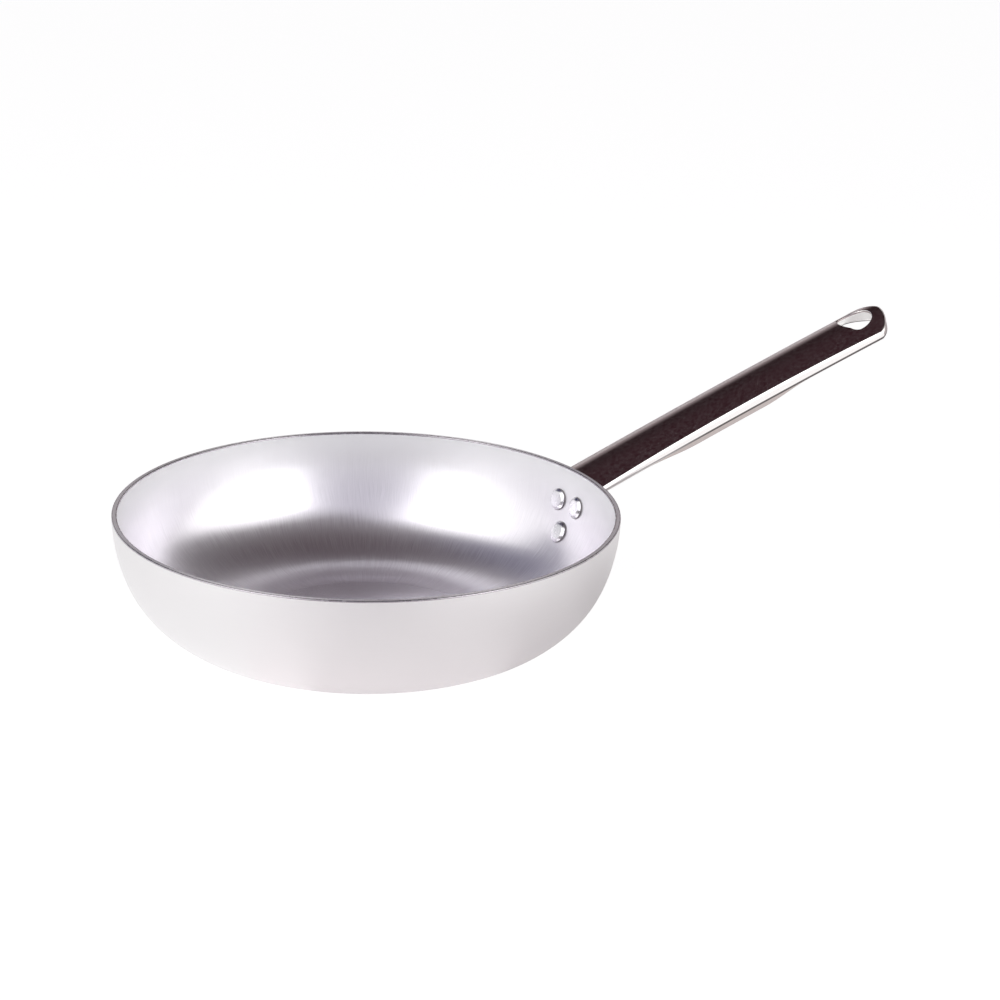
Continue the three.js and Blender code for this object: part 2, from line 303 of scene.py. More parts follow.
def lip_share(along):
    """Share of the lip's full width: widest over the middle of the handle."""
    rise = smoothstep(along, LIP_START, LIP_START + LIP_RAMP_IN)
    fall = smoothstep(along, LIP_END - LIP_RAMP_OUT, LIP_END)
    return LIP_LEAST + (1 - LIP_LEAST) * rise * (1 - fall)


def top_height(along, across):
    """Height of the handle's arched top."""
    return HANDLE_BOW * middle_share(along) - ARCH_RADIUS + math.sqrt(ARCH_RADIUS ** 2 - across ** 2)


def to_pan(point):
    """From the handle's own frame (along, across, off its top) to the pan's."""
    along, across, off = point
    return (
        RIM_RADIUS + along * math.cos(HANDLE_RISE) - off * math.sin(HANDLE_RISE),
        across,
        PAN_HEIGHT - HANDLE_BELOW_RIM + along * math.sin(HANDLE_RISE) + off * math.cos(HANDLE_RISE),
    )


def far_edge(along):
    """Plan of the handle's far side: a point and the direction inwards."""
    half = HANDLE_WIDTH / 2 - HANDLE_WAIST * middle_share(along)
    return (along, half), (0.0, -1.0)


def tip_edge(sweep):
    """Plan of the tip's far half, from its side (0) to its nose (a quarter turn)."""
    power = 2 / TIP_FULLNESS
    run = math.sin(sweep) ** power
    side = math.cos(sweep) ** power
    slope = (run ** (TIP_FULLNESS - 1) / TIP_LENGTH, side ** (TIP_FULLNESS - 1) / (HANDLE_WIDTH / 2))
    length = math.hypot(*slope)
    place = (tip_start + TIP_LENGTH * run, HANDLE_WIDTH / 2 * side)
    return place, (-slope[0] / length, -slope[1] / length)


def shoulder(across, inwards):
    """How far in from the plan's edge the shoulder meets the arched top, and the top's lean there."""
    inset = SHOULDER_RADIUS / 2
    for _ in range(SHOULDER_PASSES):
        here = across + inwards[1] * inset
        lean = math.atan(-inwards[1] * here / math.sqrt(ARCH_RADIUS ** 2 - here ** 2))
        inset = SHOULDER_RADIUS * (1 - math.sin(lean))
    return inset, lean


def lip_line(along):
    """Points (inset, off) from the lip's edge round its bend to the foot of the wall."""
    bend = np.array([0.0, -channel_depth(along)])
    lip = np.array([LIP_TURN_IN, -LIP_DROP]) * lip_share(along)
    edge = bend + lip
    start = bend + lip / np.linalg.norm(lip) * LIP_BEND
    end = bend + np.array([0.0, LIP_BEND])
    line = [edge + (start - edge) * share for share in np.linspace(0, 1, LIP_STEPS + 1)[:-1]]
    return line + curve(start, bend, end, LIP_STEPS)


def border(edge):
    """The sheet from the lip's edge up the wall and over the shoulder, at one place on the plan's edge."""
    (along, across), inwards = edge
    meets, lean = shoulder(across, inwards)
    top = top_height(along + inwards[0] * meets, across + inwards[1] * meets)
    centre = top - SHOULDER_RADIUS * math.cos(lean)
    line = lip_line(along)
    foot = line[-1]
    rise = np.array([0.0, centre]) - foot
    line += [foot + rise * share for share in np.linspace(0, 1, WALL_STEPS + 1)[1:-1]]
    for turn in np.linspace(0, QUARTER_TURN - lean, SHOULDER_STEPS + 1):
        line.append((SHOULDER_RADIUS * (1 - math.cos(turn)), centre + SHOULDER_RADIUS * math.sin(turn)))
    return [(along + inwards[0] * inset, across + inwards[1] * inset, off) for inset, off in line]


def mirrored(points):
    """The same points on the handle's other side."""
    return [(along, -across, off) for along, across, off in points]


def section(along):
    """The whole sheet across the handle, from the near lip's edge over the top to the far lip's edge."""
    far = border(far_edge(along))
    reach = math.asin(far[-1][1] / ARCH_RADIUS)
    arch = [ARCH_RADIUS * math.sin(turn) for turn in np.linspace(-reach, reach, ARCH_STEPS + 1)[1:-1]]
    top = [(along, across, top_height(along, across)) for across in arch]
    return mirrored(far) + top + far[::-1]


def root_place(column):
    """How far along the handle a column of its section meets the clearance round the bowl."""
    low = -ROOT_SEARCH
    high = ROOT_SEARCH
    for _ in range(ROOT_HALVINGS):
        middle = (low + high) / 2
        x, y, z = to_pan(section(middle)[column])
        if math.hypot(x, y) > wall_at(z)[0] + GAP:
            high = middle
        else:
            low = middle
    return low


def tongue_low(across):
    """Height of the flange's lower edge: round the rivets, with straight sides between."""
    upper = np.array([RIVET_SPREAD / 2, PAN_HEIGHT - RIVET_TOP_DROP])
    lower = np.array([0.0, PAN_HEIGHT - RIVET_LOW_DROP])
    side = (upper - lower) / np.linalg.norm(upper - lower)
    outwards = np.array([side[1], -side[0]]) * FLANGE_MARGIN
    start = lower + outwards
    end = upper + outwards
    across = abs(across)
    if across < start[0]:
        return lower[1] - math.sqrt(FLANGE_MARGIN ** 2 - across ** 2)
    if across < end[0]:
        return start[1] + (end[1] - start[1]) * (across - start[0]) / (end[0] - start[0])
    return upper[1] - math.sqrt(max(0.0, FLANGE_MARGIN ** 2 - (across - upper[0]) ** 2))


def on_wall(across, height):
    """A point on the clearance round the bowl, under the handle."""
    reach = wall_at(height)[0] + GAP
    return (math.sqrt(reach ** 2 - across ** 2), across, height)


def hole_outline():
    """Plan of the loop hole, half an ellipse with round corners towards the pan, and its middle."""
    end = HANDLE_LENGTH - HOLE_TIP_BAND
    start = end - HOLE_LENGTH
    half = HANDLE_WIDTH / 2 - HOLE_SIDE_BAND
    round_start = start + HOLE_CORNER
    outline = []
    for turn in np.linspace(-QUARTER_TURN, QUARTER_TURN, HOLE_ROUND_STEPS + 1):
        outline.append((round_start + (HOLE_LENGTH - HOLE_CORNER) * math.cos(turn), half * math.sin(turn)))
    corners = ((half - HOLE_CORNER, QUARTER_TURN), (HOLE_CORNER - half, math.pi))
    for across, first in corners:
        for turn in np.linspace(first, first + QUARTER_TURN, HOLE_CORNER_STEPS + 1):
            along = round_start + HOLE_CORNER * math.cos(turn)
            outline.append((along, across + HOLE_CORNER * math.sin(turn)))
    return np.array(outline), np.array([(start + end) / 2, 0.0])


def hole_edge(plan):
    """Places on the loop hole's edge, each in the direction of a place of the plan round it."""
    outline, middle = hole_outline()
    offsets = outline - middle
    bearing = np.arctan2(offsets[:, 1], offsets[:, 0])
    order = np.argsort(bearing)
    angles = np.arctan2(plan[:, 1], plan[:, 0] - middle[0])
    reach = np.interp(angles, bearing[order], np.linalg.norm(offsets, axis=1)[order], period=2 * math.pi)
    return middle + reach[:, None] * np.stack([np.cos(angles), np.sin(angles)], 1)


def grid_faces(rows, columns, first):
    """Faces of a grid of points that starts at a given index."""
    faces = []
    for row in range(rows - 1):
        for column in range(columns - 1):
            corner = first + row * columns + column
            faces.append((corner, corner + columns, corner + columns + 1, corner + 1))
    return faces


def handle_run(tip_row):
    """Rows of the handle's straight run, where each column meets the bowl, and a border's count."""
    columns = len(section(0.0))
    border_count = len(border(far_edge(0.0)))
    fold = FOLD_RADIUS * math.tan((QUARTER_TURN - HANDLE_RISE) / 2)
    roots = [root_place(column) for column in range(columns)]
    starts = list(roots)
    for column in range(border_count - 1, columns - border_count + 1):
        starts[column] += fold
    rows = []
    for along in np.linspace(0.0, tip_row, STATIONS + 1):
        fade = 1 - smoothstep(along, 0.0, ROOT_BLEND)
        if fade > 0:
            rows.append([section(along + starts[column] * fade)[column] for column in range(columns)])
        else:
            rows.append(section(along))
    return rows, roots, border_count


def flange_rows(roots, border_count, first_row):
    """Rows that fold the handle's top down onto the wall and end round the rivets."""
    strips = []
    for column in range(border_count - 1, len(roots) - border_count + 1):
        start = np.array(to_pan(first_row[column]))
        across = start[1]
        corner = np.array(to_pan(section(roots[column])[column]))
        drop = np.linalg.norm(start - corner)
        landing = np.array(on_wall(across, corner[2] - drop))
        strip = curve(start, corner, landing, FOLD_STEPS)
        for height in np.linspace(landing[2], tongue_low(across), FLANGE_ROWS + 1)[1:]:
            strip.append(np.array(on_wall(across, height)))
        strips.append(strip)
    return [list(row) for row in zip(*strips)]


def tip_patches(tip_row):
    """The border round the tip, and the closed rings between it and the loop hole."""
    far = [far_edge(along) for along in np.linspace(tip_row, tip_start, TIP_SIDE_STEPS + 1)[:-1]]
    far += [tip_edge(sweep) for sweep in np.linspace(0, QUARTER_TURN, TIP_STEPS + 1)]
    far_borders = [border(edge) for edge in far]
    borders = far_borders + [mirrored(line) for line in far_borders[-2::-1]]
    row = section(tip_row)
    shoulder_end = len(far_borders[0]) - 1
    outer = row[shoulder_end:len(row) - shoulder_end] + [line[-1] for line in borders[1:-1]]
    plan = np.array(outer)[:, :2]
    inner = hole_edge(plan)
    rings = []
    for share in np.linspace(0, 1, HOLE_RINGS + 1):
        ring = [(along, across, top_height(along, across)) for along, across in plan + (inner - plan) * share]
        rings.append(ring + ring[:1])
    return borders, rings


def join_patches(handle):
    """Joins the patches of the handle along their shared edges, with their faces outwards."""
    shell = bmesh.new()
    shell.from_mesh(handle.data)
    bmesh.ops.remove_doubles(shell, verts=shell.verts, dist=LEAST_EDGE * MM)
    bmesh.ops.recalc_face_normals(shell, faces=shell.faces)
    top = max(shell.faces, key=lambda face: face.calc_center_median().z)
    if top.normal.z < 0:
        bmesh.ops.reverse_faces(shell, faces=shell.faces)
    shell.to_mesh(handle.data)
    shell.free()


def thicken(handle):
    """Gives the handle its sheet's thickness, and rounds the sheet's edges outside the bowl's rim."""
    thickness = handle.modifiers.new("sheet", "SOLIDIFY")
    thickness.thickness = SHEET * MM
    thickness.offset = -1
    thickness.use_even_offset = True
    thickness.material_offset = 1
    thickness.material_offset_rim = 2
    sheet = bmesh.new()
    sheet.from_object(handle, bpy.context.evaluated_depsgraph_get())
    handle.modifiers.clear()
    clear = (RIM_RADIUS + ROUNDED_PAST_RIM) * MM
    edges = [edge for edge in sheet.edges if edge.calc_face_angle(0.0) > SHARP_ANGLE]
    edges = [edge for edge in edges if min(vertex.co.x for vertex in edge.verts) > clear]
    bmesh.ops.bevel(sheet, geom=edges, offset=SHEET_EDGE * MM, segments=2, profile=0.5, affect="EDGES")
    bmesh.ops.remove_doubles(sheet, verts=sheet.verts, dist=LEAST_EDGE * MM)
    sheet.to_mesh(handle.data)
    sheet.free()


def build_handle():
    """The pressed handle: one sheet with a folded flange, turned-in lips and a loop hole."""
    tip_row = HANDLE_LENGTH - HOLE_TIP_BAND - HOLE_LENGTH - HOLE_MARGIN
    run, roots, border_count = handle_run(tip_row)
    on_handle = (run, *tip_patches(tip_row))
    patches = [[[to_pan(point) for point in line] for line in patch] for patch in on_handle]
    flange = flange_rows(roots, border_count, run[0])
    points = []
    faces = []
    for patch in (*patches, flange):
        made = grid_faces(len(patch), len(patch[0]), len(points))
        faces += [face[::-1] for face in made] if patch is flange else made
        points += [tuple(point) for line in patch for point in line]
    handle = make_object("handle_shell", points, faces)
    join_patches(handle)
    for material in (polished_steel(), inner_steel(), cut_steel()):
        handle.data.materials.append(material)
    thicken(handle)
    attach(handle, "root")
    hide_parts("handle")


def rivet_profile():
    """Profile of a rivet from its head inside the bowl to its tail, and the steps of the head's dull seat,
    which carries a painted shadow.
    """
    seat = -BOWL_WALL + HEAD_SINK
    middle = (0.0, -BOWL_WALL - HEAD_HEIGHT)
    flat = (HEAD_FLAT_RADIUS, -BOWL_WALL - HEAD_HEIGHT)
    brim = (HEAD_RADIUS, -BOWL_WALL - HEAD_EDGE)
    foot = (HEAD_RADIUS - HEAD_UNDERCUT, seat)
    profile = [middle] + rounded(flat, middle, brim, HEAD_ROUND) + rounded(brim, flat, foot, HEAD_ROUND)
    shadowed_seat_steps = range(len(profile) - EDGE_STEPS - 1, len(profile))
    tail_seat = GAP + SHEET
    profile += [foot, (SHANK_RADIUS, seat), (SHANK_RADIUS, tail_seat)]
    for turn in np.linspace(0, QUARTER_TURN, TAIL_STEPS + 1)[:-1]:
        profile.append((TAIL_RADIUS * math.cos(turn), tail_seat + TAIL_HEIGHT * math.sin(turn)))
    profile.append((0.0, tail_seat + TAIL_HEIGHT))
    return profile, shadowed_seat_steps


def build_rivet(name, drop, across):
    """One rivet: flat-topped head inside the bowl, shank, domed tail on the flange."""
    profile, shadowed_seat_steps = rivet_profile()
    points, faces, steps = turned(profile, RIVET_SEGMENTS)
    radius, turn = wall_at(PAN_HEIGHT - drop)
    swing = math.asin(across / radius)
    outward = Vector((math.sin(turn) * math.cos(swing), math.sin(turn) * math.sin(swing), -math.cos(turn)))
    place = Vector((radius * math.cos(swing), across, PAN_HEIGHT - drop))
    facing = Vector((0, 0, 1)).rotation_difference(outward)
    rivet = make_object(name + "_turned", [facing @ Vector(point) + place for point in points], faces)
    rivet.data.materials.append(polished_aluminium())
    # The head's seat takes a painted shadow.
    rivet.data.materials.append(painted_seat_shadow())
    for face, step in zip(rivet.data.polygons, steps):
        face.material_index = int(step in shadowed_seat_steps)
    rivet.data.set_sharp_from_angle(angle=RIVET_SHARP_ANGLE)
    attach(rivet, "root")
    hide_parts(name)


class Graph:
    """Adds and joins the shader nodes of one material or world."""

    def __init__(self, owner):
        self.tree = owner.node_tree
        self.nodes = self.tree.nodes

    def add(self, kind, settings=None, **inputs):
        """A new node with its settings and inputs. An input named i and a number is given by its place."""
        node = self.nodes.new(kind)
        for key, value in (settings or {}).items():
            setattr(node, key, value)
        for key, value in inputs.items():
            self.feed(node, key, value)
        return node

    def feed(self, node, key, value):
        """Joins an output to a node's input, or sets the input's value."""
        socket = node.inputs[int(key[1:])] if key[0] == "i" and key[1:].isdigit() else node.inputs[key]
        if isinstance(value, bpy.types.NodeSocket):
            self.tree.links.new(value, socket)
        else:
            socket.default_value = value

    def math(self, operation, *values):
        node = self.add("ShaderNodeMath", {"operation": operation})
        for index, value in enumerate(values):
            self.feed(node, f"i{index}", value)
        return node.outputs[0]

    def dot(self, vector, direction):
        node = self.add("ShaderNodeVectorMath", {"operation": "DOT_PRODUCT"}, i0=vector, i1=direction)
        return node.outputs["Value"]

    def noise(self, vector, scale, detail=2.0):
        node = self.add("ShaderNodeTexNoise", Vector=vector, Scale=scale, Detail=detail)
        return node.outputs["Fac"]

    def spread(self, value, low, high):
        """A share from 0 to 1, spread over a range."""
        node = self.add("ShaderNodeMapRange", Value=value)
        self.feed(node, "To Min", low)
        self.feed(node, "To Max", high)
        return node.outputs["Result"]

    def fade(self, value, start, end):
        """A smooth share from 0 where the value is start to 1 where it is end."""
        node = self.add("ShaderNodeMapRange", {"interpolation_type": "SMOOTHSTEP"}, Value=value)
        self.feed(node, "From Min", start)
        self.feed(node, "From Max", end)
        return node.outputs["Result"]

    def blend(self, share, first, second):
        return self.add("ShaderNodeMix", i0=share, i2=first, i3=second).outputs[0]

    def blend_colour(self, share, first, second):
        node = self.add("ShaderNodeMix", {"data_type": "RGBA"})
        self.feed(node, "i0", share)
        for key, colour in (("i6", first), ("i7", second)):
            self.feed(node, key, (*colour, 1.0) if isinstance(colour, tuple) else colour)
        return node.outputs[2]

    def bump(self, height, strength, distance=FINE_RELIEF):
        node = self.add("ShaderNodeBump", Height=height, Strength=strength, Distance=distance)
        return node.outputs["Normal"]

    def show(self, shader):
        """Makes a shader the material's surface."""
        self.feed(self.nodes["Material Output"], "Surface", shader.outputs[0])


class Metal(Graph):
    """A metal with its own procedural colour, roughness and relief."""

    def __init__(self, name):
        self.material = bpy.data.materials.new(name)
        self.material.use_nodes = True
        super().__init__(self.material)
        self.surface = self.nodes["Principled BSDF"]
        self.feed(self.surface, "Metallic", 1.0)
        self.place = self.add("ShaderNodeTexCoord").outputs["Object"]

    def finish(self, colour, roughness, normal):
        self.feed(self.surface, "Base Color", colour)
        self.feed(self.surface, "Roughness", roughness)
        self.feed(self.surface, "Normal", normal)
        return self.material

    def mix_duller(self, roughness, share):
        """A second finish of the same metal, with its own roughness, mixed into the first."""
        second = self.add("ShaderNodeBsdfPrincipled", Metallic=1.0, Roughness=roughness)
        for key in ("Base Color", "Normal"):
            self.feed(second, key, self.surface.inputs[key].links[0].from_socket)
        self.show(self.add("ShaderNodeMixShader", i0=share, i1=self.surface.outputs[0], i2=second.outputs[0]))

    def brushed(self, strength, turn):
        """Strokes up the wall (no turn) or round it (a quarter turn) stretch the reflections across them."""
        tangent = self.add("ShaderNodeTangent", {"direction_type": "RADIAL", "axis": "Z"})
        self.feed(self.surface, "Tangent", tangent.outputs[0])
        self.feed(self.surface, "Anisotropic", strength)
        self.feed(self.surface, "Anisotropic Rotation", turn)


class RoundMetal(Metal):
    """A metal that knows its angle, radius, height and climb up the profile, about the bowl's axis."""

    def __init__(self, name):
        super().__init__(name)
        parts = self.add("ShaderNodeSeparateXYZ", Vector=self.place).outputs
        self.height = parts["Z"]
        self.angle = self.math("ARCTAN2", parts["Y"], parts["X"])
        squares = [self.math("POWER", parts[axis], 2.0) for axis in ("X", "Y")]
        self.radius = self.math("SQRT", self.math("ADD", *squares))
        self.climb = self.math("ADD", self.radius, self.height)

    def lines(self, angle, climb, around, up):
        """Noise drawn out into lines by its two scales, around the axis and up the profile."""
        vector = self.add("ShaderNodeCombineXYZ")
        self.feed(vector, "X", self.math("MULTIPLY", angle, around))
        self.feed(vector, "Y", self.math("MULTIPLY", climb, up))
        return self.noise(vector.outputs[0], scale=1.0)


class HandleMetal(Metal):
    """A metal that knows the handle's own directions."""

    def in_handle(self, place, scale=(1.0, 1.0, 1.0)):
        """A place turned to the handle's directions, and scaled."""
        node = self.add("ShaderNodeMapping", Vector=place)
        self.feed(node, "Rotation", (0.0, HANDLE_RISE, 0.0))
        self.feed(node, "Scale", scale)
        return node.outputs[0]

    def grain(self, along, across, detail):
        """Noise with its own scales along and across the handle."""
        return self.noise(self.in_handle(self.place, (along, across, across)), scale=1.0, detail=detail)

    def below_crease(self):
        """Distances along the handle, and below the crease between its wall and its lip, in metres."""
        root = (RIM_RADIUS * MM, 0.0, (PAN_HEIGHT - HANDLE_BELOW_RIM) * MM)
        moved = self.add("ShaderNodeVectorMath", {"operation": "SUBTRACT"}, i0=self.place, i1=root).outputs[0]
        parts = self.add("ShaderNodeSeparateXYZ", Vector=self.in_handle(moved)).outputs
        deepens = self.math("MULTIPLY", parts["X"], CHANNEL_DEEPENS / HANDLE_LENGTH)
        depth = self.math("ADD", deepens, CHANNEL_DEPTH * MM)
        return parts["X"], self.math("MULTIPLY", self.math("ADD", parts["Z"], depth), -1.0)


def aluminium_inside():
    """Sanded inside: short strokes up the wall that fade out on the floor, and a duller upper wall. The upper
    wall's paler tone is painted light; the darker lavender tone of the lower wall and floor is painted shade.
    """
    metal = RoundMetal("aluminium_inside")
    slant = metal.spread(metal.noise(metal.place, scale=35.0), low=-0.03, high=0.03)
    strokes = metal.lines(metal.math("ADD", metal.angle, slant), metal.climb, around=240.0, up=45.0)
    cloud = metal.noise(metal.place, scale=28.0, detail=3.0)
    relief = metal.math("MULTIPLY", strokes, metal.fade(metal.radius, start=0.05, end=0.085))
    upper = metal.fade(metal.height, start=0.03, end=0.072)
    # Painted shade and light: the lower wall and floor take a darker lavender tone, the upper wall a paler
    # one.
    shaded_lower_tone = metal.blend_colour(cloud, (0.885, 0.855, 0.905), (0.925, 0.895, 0.945))
    lit_upper_tone = metal.blend_colour(cloud, (0.953, 0.955, 0.955), (0.978, 0.980, 0.980))
    colour = metal.blend_colour(upper, shaded_lower_tone, lit_upper_tone)
    metal.brushed(strength=0.6, turn=0.0)
    fine = metal.spread(strokes, low=0.21, high=0.265)
    finished = metal.finish(colour, fine, metal.bump(relief, strength=0.02, distance=2 * FINE_RELIEF))
    lower_rough = metal.spread(metal.fade(metal.radius, start=0.06, end=0.095), low=0.24, high=0.45)
    lower_share = metal.spread(strokes, low=0.28, high=0.54)
    upper_rough = 0.66
    upper_share = 1.0
    rough = metal.blend(upper, lower_rough, upper_rough)
    metal.mix_duller(rough, metal.blend(upper, lower_share, upper_share))
    return finished


def aluminium_outside():
    """Satin outside: fine turned lines and a soft even grain."""
    metal = RoundMetal("aluminium_outside")
    lines = metal.lines(metal.angle, metal.climb, around=5.0, up=1400.0)
    grain = metal.noise(metal.place, scale=1500.0)
    cloud = metal.noise(metal.place, scale=18.0)
    normal = metal.bump(metal.math("ADD", lines, grain), strength=0.04, distance=1.5 * FINE_RELIEF)
    colour = metal.blend_colour(cloud, (0.80, 0.787, 0.791), (0.84, 0.827, 0.831))
    satin = metal.spread(lines, low=0.56, high=0.64)
    roughness = metal.math("ADD", satin, metal.spread(cloud, low=-0.03, high=0.03))
    return metal.finish(colour, roughness, normal)


def aluminium_rim():
    """Cut rim: ground flat and left dull, with lines turned round it."""
    metal = RoundMetal("aluminium_rim")
    lines = metal.lines(metal.angle, metal.radius, around=12.0, up=1200.0)
    colour = metal.blend_colour(lines, (0.88, 0.85, 0.88), (0.94, 0.91, 0.94))
    metal.brushed(strength=0.9, turn=0.25)
    metal.feed(metal.surface, "Metallic", metal.spread(lines, low=0.56, high=0.66))
    return metal.finish(colour, metal.spread(lines, low=0.5, high=0.6), metal.bump(lines, strength=0.02))


def polished_steel():
    """Handle's outside: polished down to the crease, with faint scratches along it, a painted dark shadow
    line along the crease, and rougher raw steel below, whose darker brown colour is painted shade.
    """
    metal = HandleMetal("polished_steel")
    grain = metal.grain(along=60.0, across=900.0, detail=3.0)
    mottle = metal.grain(along=320.0, across=1000.0, detail=4.0)
    along, below = metal.below_crease()
    # raw marks the lip below the crease: rougher steel there, and the darker colour there is painted shade.
    raw = metal.fade(below, start=0.0003, end=0.0009)
    # Painted shadow: crease and darkness paint a near-black line along the crease, fading in from the root.
    crease = metal.fade(metal.math("ABSOLUTE", below), start=0.001, end=0.0004)
    darkness = metal.spread(metal.fade(along, start=0.03, end=0.09), low=0.3, high=0.95)
    crease = metal.math("MULTIPLY", crease, darkness)
    bright = metal.blend_colour(mottle, (0.90, 0.87, 0.86), (0.96, 0.93, 0.92))
    # dull is painted shade: the lip's colour, made darker and browner than the polished top.
    dull = metal.blend_colour(mottle, (0.50, 0.43, 0.415), (0.58, 0.51, 0.495))
    shadow = (0.06, 0.045, 0.045)
    colour = metal.blend_colour(crease, metal.blend_colour(raw, bright, dull), shadow)
    scratches = metal.spread(grain, low=0.06, high=0.14)
    sheen = metal.math("ADD", scratches, metal.spread(mottle, low=-0.04, high=0.1))
    roughness = metal.blend(raw, sheen, metal.spread(grain, low=0.3, high=0.42))
    clean = metal.spread(metal.fade(mottle, start=0.3, end=0.7), low=1.0, high=0.965)
    metal.feed(metal.surface, "Metallic", clean)
    return metal.finish(colour, roughness, metal.bump(grain, strength=0.02))


def inner_steel():
    """Handle's inside: bright rolled steel, duller than the polished top."""
    metal = HandleMetal("inner_steel")
    grain = metal.grain(along=60.0, across=900.0, detail=3.0)
    colour = metal.blend_colour(grain, (0.93, 0.92, 0.91), (0.98, 0.97, 0.96))
    return metal.finish(colour, metal.spread(grain, low=0.42, high=0.55), metal.bump(grain, strength=0.03))


def worn_metal(name, scale, tones, roughness, strength):
    """A metal whose colour, roughness and relief follow one fine noise."""
    metal = Metal(name)
    wear = metal.noise(metal.place, scale, detail=3.0)
    colour = metal.blend_colour(wear, *tones)
    return metal.finish(colour, metal.spread(wear, *roughness), metal.bump(wear, strength))


def shaded_aluminium_edge():
    """Broken edges of the cut rim: smoother metal, painted dark as painted shade so that they show as thin
    dark lines.
    """
    # Painted shade: tones far darker than the aluminium round them.
    tones = ((0.46, 0.43, 0.46), (0.54, 0.51, 0.54))
    return worn_metal("shaded_aluminium_edge", scale=250.0, tones=tones, roughness=(0.2, 0.34), strength=0.03)


def cut_steel():
    """Cut edges of the handle's sheet: dull and slightly brown."""
    tones = ((0.38, 0.32, 0.32), (0.48, 0.41, 0.41))
    return worn_metal("cut_steel", scale=1400.0, tones=tones, roughness=(0.36, 0.5), strength=0.05)


def polished_aluminium():
    """Rivets: bright, lightly worn aluminium."""
    tones = ((0.82, 0.81, 0.83), (0.88, 0.87, 0.89))
    return worn_metal("polished_aluminium", scale=700.0, tones=tones, roughness=(0.2, 0.32), strength=0.02)


def painted_seat_shadow():
    """Where a rivet's head meets the wall: dull, and painted dark as a painted shadow line round the head."""
    tones = ((0.22, 0.20, 0.21), (0.42, 0.40, 0.41))
    return worn_metal("painted_seat_shadow", scale=900.0, tones=tones, roughness=(0.5, 0.7), strength=0.05)


def photo_direction(azimuth, elevation):
    """A direction from the pan: azimuth, from the camera's side to its right, and elevation, in degrees."""
    side = math.radians(azimuth)
    rise = math.radians(elevation)
    away = Vector((math.sin(side) * math.cos(rise), -math.cos(side) * math.cos(rise), math.sin(rise)))
    return Matrix.Rotation(CAMERA_TURN, 3, "Z") @ away


def build_camera():
    """The photograph's camera."""
    lens = bpy.data.cameras.new("camera")
    lens.sensor_width = SENSOR_WIDTH
    lens.lens = SENSOR_WIDTH * FOCAL_SHARE
    camera = bpy.data.objects.new("camera", lens)
    bpy.context.scene.collection.objects.link(camera)
    turn = Matrix.Rotation(CAMERA_TURN, 3, "Z")
    aim = Matrix.Rotation(QUARTER_TURN - CAMERA_TILT, 3, "X")
    aim = aim @ Matrix.Rotation(CAMERA_YAW, 3, "Y") @ Matrix.Rotation(-CAMERA_PITCH, 3, "X")
    aim = turn @ aim @ Matrix.Rotation(CAMERA_ROLL, 3, "Z")
    camera.matrix_world = Matrix.Translation(turn @ CAMERA_PLACE) @ aim.to_4x4()
    bpy.context.scene.camera = camera


def matt(graph, tone):
    """A matt shader of one tone."""
    return graph.add("ShaderNodeBsdfDiffuse", Color=(*tone, 1.0)).outputs[0]


def glowing(graph, tone, glow):
    """A matt shader of one tone that also glows white."""
    light = graph.add("ShaderNodeEmission", Color=(1.0, 1.0, 1.0, 1.0), Strength=glow)
    return graph.add("ShaderNodeAddShader", i0=light.outputs[0], i1=matt(graph, tone))


def build_floor():
    """A white floor that keeps a soft shadow and looks white in mirrors too."""
    corners = [(-1, -1), (1, -1), (1, 1), (-1, 1)]
    points = [(x * FLOOR_REACH, y * FLOOR_REACH, -FLOOR_DROP) for x, y in corners]
    floor = make_object("floor", points, [(0, 1, 2, 3)])
    white = bpy.data.materials.new("floor_white")
    white.use_nodes = True
    graph = Graph(white)
    path = graph.add("ShaderNodeLightPath").outputs
    seen = graph.math("ADD", path["Is Camera Ray"], path["Is Glossy Ray"])
    seen = graph.math("ADD", seen, path["Is Transmission Ray"])
    unseen = matt(graph, (0.8, 0.8, 0.8))
    bright = glowing(graph, (0.35, 0.35, 0.35), glow=0.84)
    graph.show(graph.add("ShaderNodeMixShader", i0=seen, i1=unseen, i2=bright.outputs[0]))
    floor.data.materials.append(white)


def build_card(name, points, faces, tone, glow):
    """A matt board out of the camera's sight, that the metal mirrors."""
    card = make_object(name, points, faces)
    grey = bpy.data.materials.new(name + "_grey")
    grey.use_nodes = True
    graph = Graph(grey)
    graph.show(glowing(graph, tone, glow))
    card.data.materials.append(grey)
    card.visible_camera = False
    card.visible_diffuse = False
    card.visible_shadow = False


def build_flag():
    """Stands low along the handle's far side and round its tip."""
    points = []
    for x, y in FLAG_PLAN:
        top = to_pan((x - RIM_RADIUS, 0.0, 0.0))[2] + FLAG_ABOVE_HANDLE
        points += [(x, y, 0.0), (x, y, top)]
    build_card("flag", points, grid_faces(len(FLAG_PLAN), 2, 0), FLAG_TONE, glow=0.0)


def build_table_card(name, azimuths, distances, glow):
    """Lies on the floor round the pan, over a range of azimuths and of distances from its middle."""
    points = []
    for distance in distances:
        for azimuth in np.linspace(*azimuths, CARD_COLUMNS):
            points.append(photo_direction(azimuth, 0.0) * distance + Vector((0.0, 0.0, CARD_LIFT)))
    build_card(name, points, grid_faces(len(distances), CARD_COLUMNS, 0), CARD_TONE, glow)


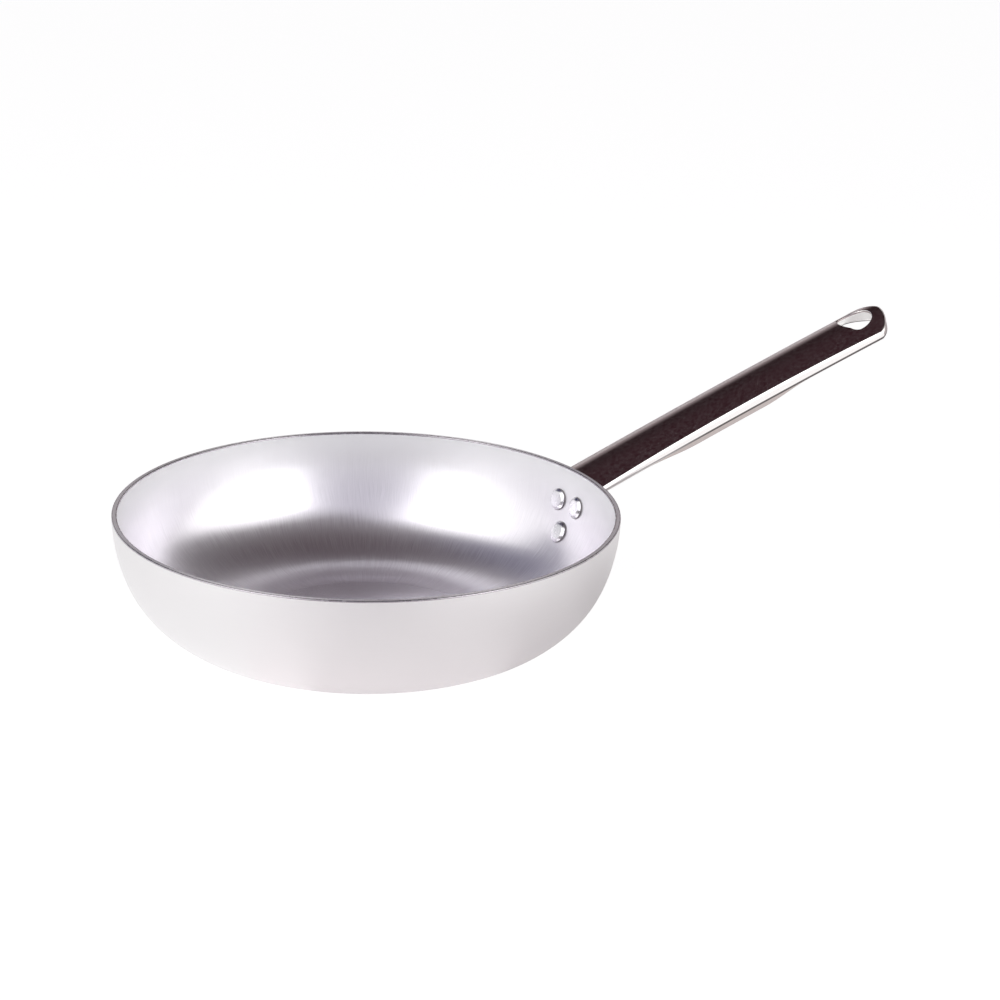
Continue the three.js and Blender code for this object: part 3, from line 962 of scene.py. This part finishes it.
def build_softbox(name, facing, edge, left, right, low, radiance):
    """A soft lamp that faces the pan, with its upper edge a little below the dark opening's edge.

    How far it reaches to its left, its right and below is in shares of its distance.
    """
    across_edge = edge - facing * edge.dot(facing)
    high = -edge.dot(facing) / across_edge.length - PANEL_INSET
    up = across_edge.normalized()
    side = up.cross(facing)
    lamp = bpy.data.lights.new(name, "AREA")
    lamp.shape = "RECTANGLE"
    lamp.size = (right - left) * PANEL_DISTANCE
    lamp.size_y = (high - low) * PANEL_DISTANCE
    lamp.energy = radiance * math.pi * lamp.size * lamp.size_y
    softbox = bpy.data.objects.new(name, lamp)
    bpy.context.scene.collection.objects.link(softbox)
    middle = facing + side * (left + right) / 2 + up * (low + high) / 2
    turn = Matrix((side, up, facing)).transposed().to_4x4()
    softbox.matrix_world = Matrix.Translation(middle * PANEL_DISTANCE) @ turn
    softbox.visible_camera = False


class Surroundings(Graph):
    """The world round the pan: pale at the sides, grey in front and behind, and a dark opening overhead."""

    def __init__(self, world):
        super().__init__(world)
        self.place = self.add("ShaderNodeTexCoord").outputs["Generated"]
        self.height = self.add("ShaderNodeSeparateXYZ", Vector=self.place).outputs["Z"]
        self.across = self.dot(self.place, photo_direction(90.0, 0.0))
        self.away = self.dot(self.place, photo_direction(180.0, 0.0))
        level = self.math("SQRT", self.math("SUBTRACT", 1.0, self.math("POWER", self.height, 2.0)))
        self.sideways = self.math("DIVIDE", self.math("ABSOLUTE", self.across), level)

    def pale(self):
        """Colour round the opening."""
        behind = self.math("GREATER_THAN", self.away, 0.0)
        start = self.blend(behind, first=0.45, second=0.2)
        end = self.blend(behind, first=0.85, second=0.45)
        middle = self.blend_colour(behind, (0.452, 0.443, 0.497), (0.296, 0.244, 0.253))
        right = self.fade(self.across, start=0.3, end=0.8)
        sides = self.blend_colour(right, (1.08, 1.08, 1.075), (1.5, 1.495, 1.48))
        return self.blend_colour(self.fade(self.sideways, start, end), middle, sides)

    def deep(self):
        """Colour in the opening: nearly black, with a little blue on the left."""
        overhead = self.fade(self.height, start=0.6, end=0.98)
        dark = self.blend_colour(overhead, (0.02, 0.008, 0.01), (0.03, 0.010, 0.014))
        left = self.fade(self.across, start=-0.2, end=-0.6)
        return self.blend_colour(left, dark, (0.03, 0.027, 0.085))

    def opening(self, right_edge, left_edge):
        """Share of the opening: between the panels' edges, and lower in the corners behind."""
        share = self.fade(self.height, start=0.21, end=0.53)
        for edge, inner in ((right_edge, 0.06), (left_edge, 0.01)):
            between = self.fade(self.dot(self.place, edge), start=-0.12, end=inner)
            share = self.math("MULTIPLY", share, between)
        raised = self.fade(self.height, start=0.1, end=0.4)
        behind = self.fade(self.away, start=0.1, end=0.4)
        beside = self.fade(self.sideways, start=0.35, end=0.65)
        corner = self.math("MULTIPLY", self.math("MULTIPLY", raised, behind), beside)
        return self.math("MAXIMUM", share, corner)


def build_world(right_edge, left_edge):
    """Pale surroundings with a dark opening behind and overhead, between the two panels' edges."""
    world = bpy.data.worlds.new("studio")
    bpy.context.scene.world = world
    world.use_nodes = True
    studio = Surroundings(world)
    colour = studio.blend_colour(studio.opening(right_edge, left_edge), studio.pale(), studio.deep())
    studio.feed(studio.nodes["Background"], "Color", colour)


def build_lamps(right_edge, left_edge):
    """The two soft lamps."""
    build_softbox("softbox_right", photo_direction(*RIGHT_PANEL), right_edge,
                  left=-0.45, right=0.08, low=-0.85, radiance=1.65)
    build_softbox("softbox_left", photo_direction(*LEFT_PANEL), left_edge,
                  left=-0.16, right=0.55, low=-1.1, radiance=1.35)


opening_edges = [photo_direction(*edge) for edge in (RIGHT_OPENING_EDGE, LEFT_OPENING_EDGE)]

build_camera()
build_floor()
build_flag()
for card_name, card in TABLE_CARDS.items():
    build_table_card(card_name, *card)
build_world(*opening_edges)
build_lamps(*opening_edges)
build_bowl()
build_handle()
build_rivet("rivet_left", RIVET_TOP_DROP, RIVET_SPREAD / 2)
build_rivet("rivet_right", RIVET_TOP_DROP, -RIVET_SPREAD / 2)
build_rivet("rivet_low", RIVET_LOW_DROP, 0.0)

bpy.context.scene.view_settings.view_transform = "Standard"
